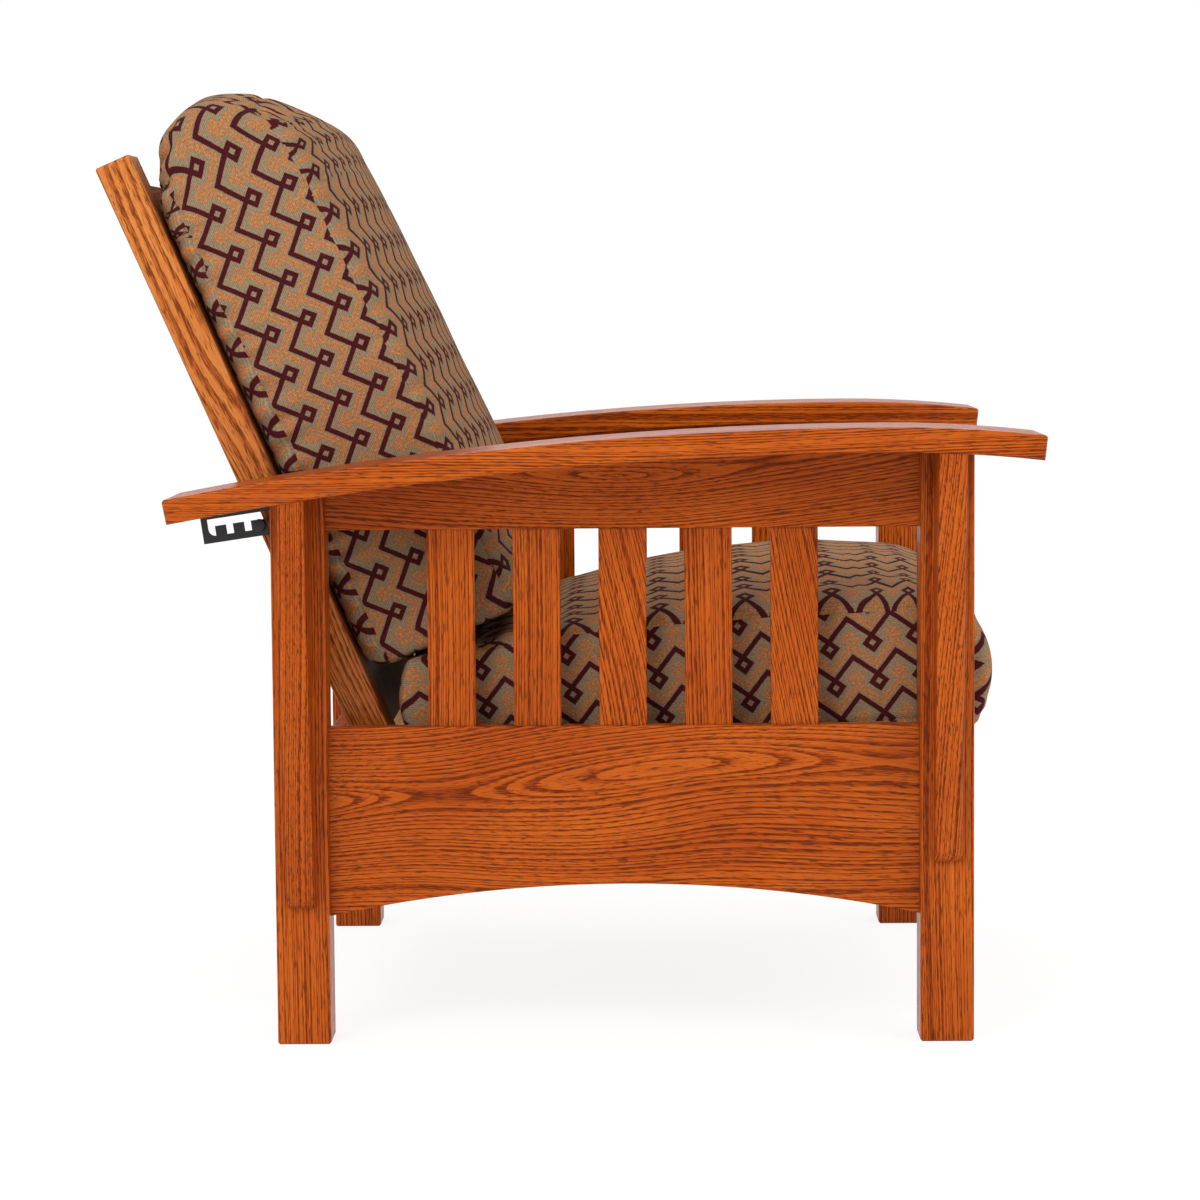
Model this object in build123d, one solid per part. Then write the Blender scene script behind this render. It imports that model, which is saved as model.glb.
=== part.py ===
from build123d import *
import math
import os

# Bow-arm reclining armchair, in millimetres.
# X runs across the chair, the front faces -Y and Z is up.
# Places are first worked out as a distance forward of the rear posts' back faces and a height.

# Posts
frame_width = 733.0
frame_depth = 717.0
post_side = 55.0
post_edge_round = 2.5
foot_chamfer = 2.0
post_tenon_side = 34.0
post_tenon_length = 12.0

# Arms, bent as two arcs that meet at the highest point
arm_width = 132.0
arm_thickness = 25.0
arm_overhang = 77.0
arm_crest_height = 635.0
arm_crest_set = 94.0
arm_rear_reach = 100.0
arm_front_reach = 66.0
arm_rear_fall = 67.6
arm_front_fall = 9.2
arm_edge_round = 3.0

# Corbels
corbel_length = 421.0
corbel_thickness = 28.0
corbel_top_reach = 74.0
corbel_middle_reach = 43.0
corbel_toe = 14.0
corbel_edge_round = 2.0

# Side rails and slats
rail_thickness = 19.0
lower_rail_bottom = 131.0
lower_rail_rise = 9.0
rail_arch_rise = 32.0
upper_rail_drop = 105.0
rail_edge_round = 1.5
rail_tenon_thickness = 11.0
rail_tenon_length = 20.0
rail_tenon_shoulder = 9.0
slat_count = 5
slat_width = 48.5
slat_thickness = 11.0
slat_pitch = 88.0
slat_edge_round = 1.2
slat_tenon_length = 10.0

# Cross rails
rear_rail_top = 272.0

# Seat support
seat_tilt = 3.05
seat_front_height = 318.0
bearer_thickness = 34.0
bearer_height = 45.0
seat_slat_count = 7
seat_slat_gap = 18.0
seat_slat_thickness = 16.0
seat_slat_rear_set = 15.8
seat_slat_front_set = 7.0
seat_slat_end_gap = 4.5
seat_slat_edge_round = 2.0

# Notched plates under the rear ends of the arms, measured along and square to their slope
plate_thickness = 3.0
plate_tilt = 8.3
plate_rear_reach = 79.7
plate_front_reach = 45.0
plate_rise = 15.0
plate_drop = 34.6
plate_corner_round = 8.0
channel_drop = 9.9
channel_height = 7.6
notch_width = 7.4
notch_depth = 10.0
notch_pitch = 18.8
notch_count = 4
last_notch = 69.6
first_notch = 19.65
nose_width = 4.6
nose_round = 7.0

# Support rod
rod_diameter = 7.0
rod_rest_gap = 0.3
rod_end_gap = 0.4
rebate_depth = 9.1
rebate_end_gap = 2.0

# Back frame, measured from the pivot along the stiles and square to them
lean = 23.65
pivot_drop = 72.0
stile_depth = 39.0
stile_width = 60.0
stile_gap = 4.0
stile_length = 723.5
stile_foot = 29.5
stile_foot_round = 16.0
stile_edge_round = 3.0
back_rail_thickness = 19.0
back_rail_recess = 5.0
back_tenon_length = 22.0
crest_height = 90.0
crest_drop = 30.0
bottom_rail_base = 214.0
bottom_rail_height = 62.0
ladder_count = 4
ladder_height = 50.0
panel_thickness = 5.0
panel_base = 69.0
panel_gap = 4.0
panel_groove = 6.0

# Pivots
pivot_shank_radius = 5.0
pivot_head_radius = 9.0
pivot_head_thickness = 5.0
pivot_head_round = 1.5
pivot_reach = 25.0
washer_radius = 14.0
washer_gap = 0.2

# Screws
screw_radius = 2.2
screw_head_radius = 4.4
screw_head_height = 2.4
plate_arm_screw_length = 24.0
plate_post_screw_length = 18.0
plate_arm_screw_height = 6.0
plate_post_screw_drop = 4.0
plate_arm_screw_first = 70.0
plate_arm_screw_last = 25.0
plate_post_screw_first = 14.0
plate_post_screw_last = 36.0
bearer_screw_length = 44.0
bearer_screw_count = 4
bearer_screw_inset = 100.0
bearer_screw_share = 0.5
slat_screw_length = 36.0

# Fits
joint_clearance = 0.2
running_clearance = 0.05
cushion_clearance = 0.4
cut_overrun = 5.0

# Seat cushion: from the pivot at its rear and from the posts' front faces at its front
seat_side_gap = 3.0
seat_rear_set = 8.8
seat_rear_bulge = 8.0
seat_rear_height = 107.0
seat_rear_drop = 11.0
seat_side_middle_share = 0.52
seat_side_middle_height = 126.5
seat_side_front_set = 13.0
seat_side_front_height = 125.0
seat_side_bend = 7.0
seat_front_bulge_reach = 24.0
seat_front_bulge_height = 46.0
seat_front_foot_reach = 5.0
seat_corner = 14.0
seat_crown_middle_share = 0.55
seat_crown_height = 45.5
seat_crown_front_set = 65.0
seat_crown_front_height = 46.5
seat_crown_front_bulge = 9.0
seat_shoulder_set = 5.0
seat_shoulder_height = 138.0
seat_edge_draw = 8.0

# Back cushion: places in front of the stiles' front faces and heights above the pivot
back_side_gap = 13.5
back_base = 131.0
back_base_crown = 3.5
back_side_top = 708.0
back_top_crown = 36.0
back_rear = 24.0
back_rear_gap = 0.4
back_rear_power = 19
back_front_low = 168.0
back_front_high = 154.0
back_front_bow = 2.0
back_front_crown = 45.0
back_low_corner = 24.0
back_rear_corner = 40.0
back_front_corner = 45.0
back_front_corner_crown = 30.0
back_front_turn = 40.0
back_front_turn_crown = 62.0
back_top_bow = 1.0
back_edge_draw = 9.0

# Shares of a cushion's half width at which its sections lie
section_shares = (-1.0, -0.965, -0.82, -0.45, 0.0, 0.45, 0.82, 0.965, 1.0)
corner_share = 1 - math.sqrt(0.5)

# Worked-out places
post_x = (frame_width - post_side) / 2
rear_post_forward = post_side / 2
front_post_forward = frame_depth - post_side / 2
side_rail_length = frame_depth - 2 * post_side
cross_rail_length = frame_width - 2 * post_side
rail_inner_x = post_x - rail_thickness / 2
arm_inner_x = frame_width / 2 + arm_overhang - arm_width
arm_x = arm_inner_x + arm_width / 2
arm_front = frame_depth + arm_front_reach
arm_crest_forward = frame_depth - arm_crest_set
upper_rail_bottom = arm_crest_height - upper_rail_drop
bearer_inner_x = rail_inner_x - bearer_thickness
stile_x = bearer_inner_x - stile_gap - stile_width / 2
stile_outer_x = stile_x + stile_width / 2
stile_inner_x = stile_x - stile_width / 2
rod_radius = rod_diameter / 2
teeth_drop = channel_drop + channel_height
seat_slope = math.tan(math.radians(seat_tilt))
crest_base = stile_length - crest_drop - crest_height
bottom_rail_top = bottom_rail_base + bottom_rail_height
ladder_space = crest_base - bottom_rail_top - ladder_count * ladder_height
ladder_gap = ladder_space / (ladder_count + 1)
panel_top = bottom_rail_base - panel_gap
lower_rail_top = seat_front_height + lower_rail_rise
pivot_height = seat_front_height - pivot_drop
rod_stand_off = stile_depth / 2 - rebate_depth + rod_radius + rod_rest_gap
seat_half_width = frame_width / 2 - post_side - seat_side_gap
back_half_width = arm_inner_x - back_side_gap
sides = {"left": 1, "right": -1}
base_align = (Align.CENTER, Align.CENTER, Align.MIN)
top_align = (Align.CENTER, Align.CENTER, Align.MAX)


def side_point(forward, height):
    return (-forward, height)


def side_solid(edges, width, x):
    # A solid across the chair from an outline drawn in side view
    face = Plane.YZ * make_face(edges)
    return Pos(x, 0, 0) * extrude(face, amount=width / 2, both=True)


def gathered(shapes):
    return Compound([solid for shape in shapes for solid in shape.solids()])


def block(width, depth, height, x, forward, bottom):
    return Pos(x, -forward, bottom) * Box(width, depth, height, align=base_align)


def grown_block(width, depth, height, x, forward, bottom, clearance):
    # A tenon, or its mortise where a clearance is given
    grow = 2 * clearance
    return block(width + grow, depth + grow, height + grow, x, forward, bottom - clearance)


def arc_radius(forward):
    # The arm's top face falls by a known height from its crest to each end
    if forward < arm_crest_forward:
        run, fall = arm_crest_forward + arm_rear_reach, arm_rear_fall
    else:
        run, fall = arm_front - arm_crest_forward, arm_front_fall
    return (run * run + fall * fall) / (2 * fall)


def arm_point(forward, drop):
    # The point below a place on the arm's top face, measured square to the face
    radius = arc_radius(forward)
    angle = math.asin((forward - arm_crest_forward) / radius)
    reach = radius - drop
    height = arm_crest_height - radius + reach * math.cos(angle)
    return side_point(arm_crest_forward + reach * math.sin(angle), height)


def underside_height(forward):
    radius = arc_radius(forward)
    inner = radius - arm_thickness
    run = forward - arm_crest_forward
    return arm_crest_height - radius + math.sqrt(inner * inner - run * run)


def arm_arc(start, end, drop):
    middle = (start + end) / 2
    return ThreePointArc(arm_point(start, drop), arm_point(middle, drop), arm_point(end, drop))


def arm_band(upper_drop, lower_drop, width, x):
    # A band that follows the arm's curve from end to end
    edges = [
        arm_arc(-arm_rear_reach, arm_crest_forward, upper_drop),
        arm_arc(arm_crest_forward, arm_front, upper_drop),
        Line(arm_point(arm_front, upper_drop), arm_point(arm_front, lower_drop)),
        arm_arc(arm_front, arm_crest_forward, lower_drop),
        arm_arc(arm_crest_forward, -arm_rear_reach, lower_drop),
        Line(arm_point(-arm_rear_reach, lower_drop), arm_point(-arm_rear_reach, upper_drop)),
    ]
    return side_solid(edges, width, x)


def above_underside():
    # All that lies above the arms' undersides, which shapes the tops of what carries them
    width = frame_width + 2 * arm_overhang + 2 * cut_overrun
    return arm_band(-corbel_length, arm_thickness + joint_clearance, width, 0)


def post_tenon(side, forward, clearance):
    half = post_side / 2
    base = min(underside_height(forward - half), underside_height(forward + half)) - cut_overrun
    height = underside_height(forward) + post_tenon_length - base
    width = post_tenon_side
    return grown_block(width, width, height, side * post_x, forward, base, clearance)


def make_arm(side):
    arm = arm_band(0, arm_thickness, arm_width, side * arm_x)
    arm = fillet(arm.edges().filter_by(Axis.X).group_by(Axis.Y)[0], arm_edge_round)
    arm = fillet(arm.edges().filter_by(Axis.X).group_by(Axis.Y)[-1], arm_edge_round)
    side_faces = arm.faces().filter_by(Axis.X).sort_by(Axis.X)
    arm = fillet(side_faces[0].edges() + side_faces[-1].edges(), arm_edge_round)
    arm -= post_tenon(side, rear_post_forward, joint_clearance)
    arm -= post_tenon(side, front_post_forward, joint_clearance)
    return arm - plate_arm_screws(side, running_clearance)


def make_post(side, forward, cross_rail_mortise, ceiling):
    post = block(post_side, post_side, arm_crest_height, side * post_x, forward, 0)
    post = fillet(post.edges().filter_by(Axis.Z), post_edge_round)
    post = chamfer(post.faces().sort_by(Axis.Z)[0].edges(), foot_chamfer)
    post -= ceiling
    post += post_tenon(side, forward, 0)
    post -= side_place(side) * lower_rail_tenons(joint_clearance)
    post -= side_place(side) * upper_rail_tenons(joint_clearance)
    return post - cross_rail_mortise


def make_corbel(side, forward, ceiling):
    top = underside_height(forward)
    bottom = top - corbel_length
    face = side * frame_width / 2
    rim = face + side * corbel_top_reach
    peak = top + corbel_toe
    arc_end = bottom + corbel_toe
    toe = face + side * corbel_toe
    toe_middle = (toe - side * corbel_toe * corner_share, bottom + corbel_toe * corner_share)
    bend = (face + side * corbel_middle_reach, (top + arc_end) / 2)
    edges = [
        Line((face, bottom), (face, peak)),
        Line((face, peak), (rim, peak)),
        Line((rim, peak), (rim, top)),
        ThreePointArc((rim, top), bend, (toe, arc_end)),
        ThreePointArc((toe, arc_end), toe_middle, (face, bottom)),
    ]
    corbel = extrude(Plane.XZ * make_face(edges), amount=corbel_thickness / 2, both=True)
    curved = corbel.edges().filter_by(GeomType.CIRCLE)
    long_edges = [edge for edge in curved if edge.length > corbel_length / 2]
    corbel = fillet(long_edges, corbel_edge_round)
    return Pos(0, -forward, 0) * corbel - ceiling


def arched_board(length, bottom, top):
    # A board along Y with an arched lower edge, centred on the origin in plan
    half = length / 2
    edges = [
        Line((-half, top), (half, top)),
        Line((half, top), (half, bottom)),
        ThreePointArc((half, bottom), (0, bottom + rail_arch_rise), (-half, bottom)),
        Line((-half, bottom), (-half, top)),
    ]
    board = side_solid(edges, rail_thickness, 0)
    upper_edges = board.edges().filter_by(Axis.Y).group_by(Axis.Z)[-1]
    return fillet(upper_edges, rail_edge_round)


def rail_tenons(length, bottom, top, clearance):
    height = top - bottom - 2 * rail_tenon_shoulder
    reach = length + 2 * rail_tenon_length
    low = bottom + rail_tenon_shoulder
    return grown_block(rail_tenon_thickness, reach, height, 0, 0, low, clearance)


def lower_rail_tenons(clearance):
    # They sit above the arch, which leaves them their full height
    bottom = lower_rail_bottom + rail_arch_rise
    return rail_tenons(side_rail_length, bottom, lower_rail_top, clearance)


def upper_rail_tenons(clearance):
    top = underside_height(post_side) - joint_clearance
    return rail_tenons(side_rail_length, upper_rail_bottom, top, clearance)


def side_place(side):
    return Pos(side * post_x, -frame_depth / 2, 0)


def slat_places():
    first = frame_depth / 2 - slat_pitch * (slat_count - 1) / 2
    return [first + slat_pitch * number for number in range(slat_count)]


def slat_block(side, forward, clearance):
    bottom = lower_rail_top - slat_tenon_length
    height = upper_rail_bottom - lower_rail_top + 2 * slat_tenon_length
    x = side * post_x
    return grown_block(slat_thickness, slat_width, height, x, forward, bottom, clearance)


def make_slat(side, forward):
    slat = slat_block(side, forward, 0)
    return fillet(slat.edges().filter_by(Axis.Z), slat_edge_round)


def slat_mortises(side):
    return gathered([slat_block(side, forward, joint_clearance) for forward in slat_places()])


def make_lower_side_rail(side):
    board = arched_board(side_rail_length, lower_rail_bottom, lower_rail_top)
    rail = side_place(side) * (board + lower_rail_tenons(0))
    return rail - slat_mortises(side) - bearer_screws(side, running_clearance)


def make_upper_side_rail(side, ceiling):
    height = arm_crest_height - upper_rail_bottom
    board = block(rail_thickness, side_rail_length, height, 0, 0, upper_rail_bottom)
    lower_edges = board.faces().sort_by(Axis.Z)[0].edges().filter_by(Axis.Y)
    board = fillet(lower_edges, rail_edge_round)
    rail = side_place(side) * (board + upper_rail_tenons(0))
    return rail - ceiling - slat_mortises(side)


def cross_place(forward):
    return Pos(0, -forward, 0) * Rot(0, 0, 90)


def cross_rail_tenons(forward, top, clearance):
    bottom = lower_rail_bottom + rail_arch_rise
    return cross_place(forward) * rail_tenons(cross_rail_length, bottom, top, clearance)


def make_cross_rail(forward, top):
    board = arched_board(cross_rail_length, lower_rail_bottom, top)
    return cross_place(forward) * board + cross_rail_tenons(forward, top, 0)


def seat_height(forward):
    # Height of the seat slats' top faces
    return seat_front_height - (frame_depth - forward) * seat_slope


def on_seat(x, forward):
    return Pos(x, -forward, seat_height(forward)) * Rot(-seat_tilt, 0, 0)


def make_bearer(side):
    start = post_side
    end = frame_depth - post_side
    drop = seat_slat_thickness / math.cos(math.radians(seat_tilt))
    foot = drop + bearer_height
    outline = Polyline(
        side_point(start, seat_height(start) - drop),
        side_point(end, seat_height(end) - drop),
        side_point(end, seat_height(end) - foot),
        side_point(start, seat_height(start) - foot),
        close=True,
    )
    x = side * (bearer_inner_x + bearer_thickness / 2)
    bearer = side_solid([outline], bearer_thickness, x)
    bearer -= seat_slat_screws(running_clearance)
    bearer -= bearer_screws(side, running_clearance)
    end = bearer_inner_x + pivot_reach + running_clearance
    return bearer - across(side, pivot_shank_radius + running_clearance, 0, end)


def seat_slat_places():
    # Returns the middles of the seat slats and their common width
    first = pivot_forward() + seat_slat_rear_set
    last = frame_depth - post_side - seat_slat_front_set
    step = (last - first + seat_slat_gap) / seat_slat_count
    width = step - seat_slat_gap
    return [first + width / 2 + step * number for number in range(seat_slat_count)], width


def make_seat_slat(forward, width):
    length = 2 * (rail_inner_x - seat_slat_end_gap)
    slat = Box(length, width, seat_slat_thickness, align=top_align)
    slat = fillet(slat.edges().filter_by(Axis.X), seat_slat_edge_round)
    return on_seat(0, forward) * slat - seat_slat_screws(running_clearance)


def countersunk_screw(length, clearance):
    # A screw that points down, with the top of its head at the origin
    thin = screw_radius + clearance
    wide = screw_head_radius + clearance
    shank = Cylinder(thin, length + clearance, align=top_align)
    return shank + Cone(thin, wide, screw_head_height, align=top_align)


def seat_slat_screws(clearance):
    x = bearer_inner_x + bearer_thickness / 2
    group = []
    for forward in seat_slat_places()[0]:
        for side in sides.values():
            group.append(on_seat(side * x, forward) * countersunk_screw(slat_screw_length, clearance))
    return gathered(group)


def side_screws(side, x, places, length, clearance):
    # Screws driven outwards from an inner face of the frame
    group = []
    for forward, height in places:
        place = Pos(side * x, -forward, height) * Rot(0, -90 * side, 0)
        group.append(place * countersunk_screw(length, clearance))
    return gathered(group)


def bearer_screws(side, clearance):
    start = post_side + bearer_screw_inset
    step = (frame_depth - 2 * start) / (bearer_screw_count - 1)
    depth = seat_slat_thickness + bearer_height * bearer_screw_share
    places = []
    for number in range(bearer_screw_count):
        forward = start + step * number
        places.append((forward, seat_height(forward) - depth))
    return side_screws(side, bearer_inner_x, places, bearer_screw_length, clearance)


def on_plate(along, up):
    # Forward place and height of a point of the notched plate
    tilt = math.radians(plate_tilt)
    forward = along * math.cos(tilt) - up * math.sin(tilt)
    height = underside_height(0) + along * math.sin(tilt) + up * math.cos(tilt)
    return forward, height


def plate_point(along, up):
    return side_point(*on_plate(along, up))


def plate_block(side, rear, front, low, high):
    # A rectangle of the plate, between two places along its slope and two square to it
    outline = Polyline(
        plate_point(rear, low),
        plate_point(front, low),
        plate_point(front, high),
        plate_point(rear, high),
        close=True,
    )
    return side_solid([outline], plate_thickness, side * (arm_inner_x - plate_thickness / 2))


def notch_places():
    # The front notch holds the rod in the photographed position
    step = notch_pitch
    rows = [-last_notch + step * number for number in range(notch_count - 1)]
    return [-first_notch] + rows[::-1]


def rod_centre(place):
    up = rod_radius + running_clearance - teeth_drop - notch_depth
    return on_plate(place, up)


def make_plate(side):
    half = notch_width / 2
    comb_front = half + nose_width - first_notch
    channel_rear = -last_notch - half
    plate = plate_block(side, -plate_rear_reach, plate_front_reach, -channel_drop, plate_rise)
    plate += plate_block(side, -plate_rear_reach, comb_front, -plate_drop, -channel_drop)
    plate -= plate_block(side, channel_rear, plate_front_reach, -teeth_drop, -channel_drop)
    notch_base = -teeth_drop - notch_depth
    for place in notch_places():
        plate -= plate_block(side, place - half, place + half, notch_base, -channel_drop)
    low_edges = plate.edges().filter_by(Axis.X).group_by(Axis.Z)
    rear_corner = low_edges[0].sort_by(Axis.Y)[-1]
    front_corner = low_edges[1].sort_by(Axis.Y)[0]
    plate = fillet(rear_corner, plate_corner_round)
    plate = fillet(front_corner, nose_round)
    plate -= plate_arm_screws(side, running_clearance)
    return plate - plate_post_screws(side, running_clearance)


def plate_arm_screws(side, clearance):
    rows = (-plate_arm_screw_first, -plate_arm_screw_last)
    places = [on_plate(along, plate_arm_screw_height) for along in rows]
    x = arm_inner_x - plate_thickness
    return side_screws(side, x, places, plate_arm_screw_length, clearance)


def plate_post_screws(side, clearance):
    rows = (plate_post_screw_first, plate_post_screw_last)
    places = [on_plate(along, -plate_post_screw_drop) for along in rows]
    x = arm_inner_x - plate_thickness
    return side_screws(side, x, places, plate_post_screw_length, clearance)


def pivot_forward():
    # The stiles lean on the rod in the front notch, which settles where their pivot is
    angle = math.radians(lean)
    forward, height = rod_centre(notch_places()[0])
    rise = height - pivot_height
    return forward + (rod_stand_off + rise * math.sin(angle)) / math.cos(angle)


def from_pivot(place):
    # A point of the frame measured along the stiles and to the front of their middle line
    forward, height = place
    angle = math.radians(lean)
    run = forward - pivot_forward()
    rise = height - pivot_height
    along = rise * math.cos(angle) - run * math.sin(angle)
    return along, run * math.cos(angle) + rise * math.sin(angle)


def turn_to(place):
    # Turn of the back that brings it to the rod in another notch
    along, out = from_pivot(place)
    reach = math.hypot(along, out)
    return math.degrees(math.asin(-rod_stand_off / reach) - math.atan2(out, along))


def on_back():
    # The back's own frame, with its origin at the pivot and Z along the stiles
    return Pos(0, -pivot_forward(), pivot_height) * Rot(-lean, 0, 0)


def across(side, radius, start, end):
    # A cylinder across the chair on the pivot's line, between two distances from the middle
    cylinder = Rot(0, 90, 0) * Cylinder(radius, end - start)
    return Pos(side * (start + end) / 2, -pivot_forward(), pivot_height) * cylinder


def back_member_y(thickness):
    return back_rail_recess + (thickness - stile_depth) / 2


def make_back_member(base, height):
    y = back_member_y(back_rail_thickness)
    board = Box(2 * stile_inner_x, back_rail_thickness, height)
    board = fillet(board.edges().filter_by(Axis.X), rail_edge_round)
    board = Pos(0, y, base + height / 2) * board
    return on_back() * (board + back_member_tenons(base, height, 0))


def back_member_tenons(base, height, clearance):
    length = 2 * (stile_inner_x + back_tenon_length)
    tall = height - 2 * rail_tenon_shoulder
    forward = -back_member_y(back_rail_thickness)
    low = base + rail_tenon_shoulder
    return grown_block(length, rail_tenon_thickness, tall, 0, forward, low, clearance)


def back_members():
    # Base and height along the stiles of each cross piece
    members = {"back_bottom_rail": (bottom_rail_base, bottom_rail_height)}
    for number in range(ladder_count):
        base = bottom_rail_top + ladder_gap + (ladder_height + ladder_gap) * number
        members[f"ladder_slat_{number + 1}"] = (base, ladder_height)
    members["crest_rail"] = (crest_base, crest_height)
    return members


def panel_board(clearance):
    width = 2 * (stile_inner_x + panel_groove)
    forward = -back_member_y(panel_thickness)
    height = panel_top - panel_base
    return grown_block(width, panel_thickness, height, 0, forward, panel_base, clearance)


def stile_rebate():
    # The rod bears on the bottom of this cut, which is as long as its travel along the stile
    reaches = [math.hypot(*from_pivot(rod_centre(place))) for place in notch_places()]
    room = rod_radius + rebate_end_gap
    start = math.sqrt(reaches[0] ** 2 - rod_stand_off ** 2) - room
    end = math.sqrt(reaches[-1] ** 2 - rod_stand_off ** 2) + room
    forward = (rebate_depth - cut_overrun - stile_depth) / 2
    width = 2 * (stile_outer_x + cut_overrun)
    return block(width, rebate_depth + cut_overrun, end - start, 0, forward, start)


def make_stile(side):
    length = stile_length + stile_foot
    stile = block(stile_width, stile_depth, length, side * stile_x, 0, -stile_foot)
    ends = stile.edges().filter_by(Axis.X).group_by(Axis.Z)
    stile = fillet(ends[0], stile_foot_round)
    stile = fillet(stile.edges().filter_by(Axis.Z), stile_edge_round)
    stile = fillet(stile.faces().sort_by(Axis.Z)[-1].edges(), stile_edge_round)
    stile -= stile_rebate()
    for base, height in back_members().values():
        stile -= back_member_tenons(base, height, joint_clearance)
    stile -= panel_board(joint_clearance)
    return on_back() * stile - across(side, pivot_shank_radius + running_clearance, 0, frame_width)


def make_pivot_bolt(side):
    start = stile_inner_x - washer_gap
    shank = across(side, pivot_shank_radius, start, bearer_inner_x + pivot_reach)
    head = across(side, pivot_head_radius, start - pivot_head_thickness, start)
    rim = head.edges().sort_by(Axis.X)[0 if side > 0 else -1]
    return shank + fillet(rim, pivot_head_round)


def make_washer(side):
    start = stile_outer_x + washer_gap
    washer = across(side, washer_radius, start, bearer_inner_x)
    return washer - across(side, pivot_shank_radius + running_clearance, 0, frame_width)


def make_rod():
    length = 2 * (arm_inner_x - plate_thickness - rod_end_gap)
    forward, height = rod_centre(notch_places()[0])
    return Pos(0, -forward, height) * Rot(0, 90, 0) * Cylinder(rod_radius, length)


def crown_at(share):
    return math.sqrt(1 - share * share)


def edge_at(share):
    # One at a cushion's side faces and zero over its middle
    return max(0, (abs(share) - section_shares[-2]) / (1 - section_shares[-2]))


def seat_outline(share):
    crown = crown_at(share)
    draw = seat_edge_draw * edge_at(share)

    def point(forward, height):
        return side_point(forward, seat_height(forward) + cushion_clearance + height)

    side_front = frame_depth - seat_side_front_set
    rear = pivot_forward() + seat_rear_set + draw
    front = side_front - (seat_crown_front_set - seat_side_front_set) * crown
    middle_share = seat_side_middle_share + (seat_crown_middle_share - seat_side_middle_share) * crown
    middle = rear + (front - rear) * middle_share
    top = seat_side_middle_height + seat_crown_height * crown - draw
    front_top = seat_side_front_height + seat_crown_front_height * crown - draw
    shoulder = side_front + (seat_side_front_set - seat_shoulder_set) * crown + seat_corner - draw
    shoulder_top = seat_side_front_height + (seat_shoulder_height - seat_side_front_height) * crown
    shoulder_top -= seat_corner + draw
    bulge = frame_depth + seat_front_bulge_reach + seat_crown_front_bulge * crown - draw
    foot = frame_depth + seat_front_foot_reach - draw
    rear_top = seat_rear_height - seat_rear_drop * crown - draw
    bend = ((front + shoulder) / 2 + seat_side_bend, (front_top + shoulder_top) / 2 + seat_side_bend)
    return [
        Line(point(rear + seat_corner, 0), point(foot, 0)),
        ThreePointArc(
            point(foot, 0), point(bulge, seat_front_bulge_height), point(shoulder, shoulder_top)
        ),
        ThreePointArc(point(shoulder, shoulder_top), point(*bend), point(front, front_top)),
        ThreePointArc(point(front, front_top), point(middle, top), point(rear, rear_top)),
        ThreePointArc(
            point(rear, rear_top),
            point(rear - seat_rear_bulge, rear_top / 2),
            point(rear + seat_corner, 0),
        ),
    ]


def back_outline(share):
    crown = crown_at(share)
    draw = back_edge_draw * edge_at(share)

    def point(out, up):
        return (-stile_depth / 2 - out, up)

    def corner(middle_out, middle_up, start, end):
        # The middle of a rounded corner, drawn in from its sharp point
        out = middle_out + ((start[0] + end[0]) / 2 - middle_out) * 2 * corner_share
        up = middle_up + ((start[1] + end[1]) / 2 - middle_up) * 2 * corner_share
        return point(out, up)

    rear = back_rear_gap + (back_rear - back_rear_gap) * abs(share) ** back_rear_power + draw
    front_low = back_front_low + back_front_crown * crown - draw
    front_high = back_front_high + back_front_crown * crown - draw
    base = back_base + back_base_crown * crown + draw
    top = back_side_top + back_top_crown * crown - draw
    low = (front_low, base + back_low_corner)
    low_inner = (front_low - back_low_corner, base)
    high = (front_high, top - back_front_turn - back_front_turn_crown * crown)
    high_inner = (front_high - back_front_corner - back_front_corner_crown * crown, top)
    rear_high = (rear, top - back_rear_corner)
    rear_inner = (rear + back_rear_corner, top)
    rear_low = (rear, base + back_low_corner)
    rear_low_inner = (rear + back_low_corner, base)
    front_middle = ((front_low + front_high) / 2 + back_front_bow, (low[1] + high[1]) / 2)
    top_middle = ((high_inner[0] + rear_inner[0]) / 2, top + back_top_bow)
    return [
        Line(point(*rear_low_inner), point(*low_inner)),
        ThreePointArc(point(*low_inner), corner(front_low, base, low_inner, low), point(*low)),
        ThreePointArc(point(*low), point(*front_middle), point(*high)),
        ThreePointArc(point(*high), corner(front_high, top, high, high_inner), point(*high_inner)),
        ThreePointArc(point(*high_inner), point(*top_middle), point(*rear_inner)),
        ThreePointArc(point(*rear_inner), corner(rear, top, rear_inner, rear_high), point(*rear_high)),
        Line(point(*rear_high), point(*rear_low)),
        ThreePointArc(
            point(*rear_low), corner(rear, base, rear_low, rear_low_inner), point(*rear_low_inner)
        ),
    ]


def crowned(outline, half_width):
    sections = []
    for share in section_shares:
        face = Plane.YZ * make_face(outline(share))
        sections.append(Pos(share * half_width, 0, 0) * face)
    return loft(sections)


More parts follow.
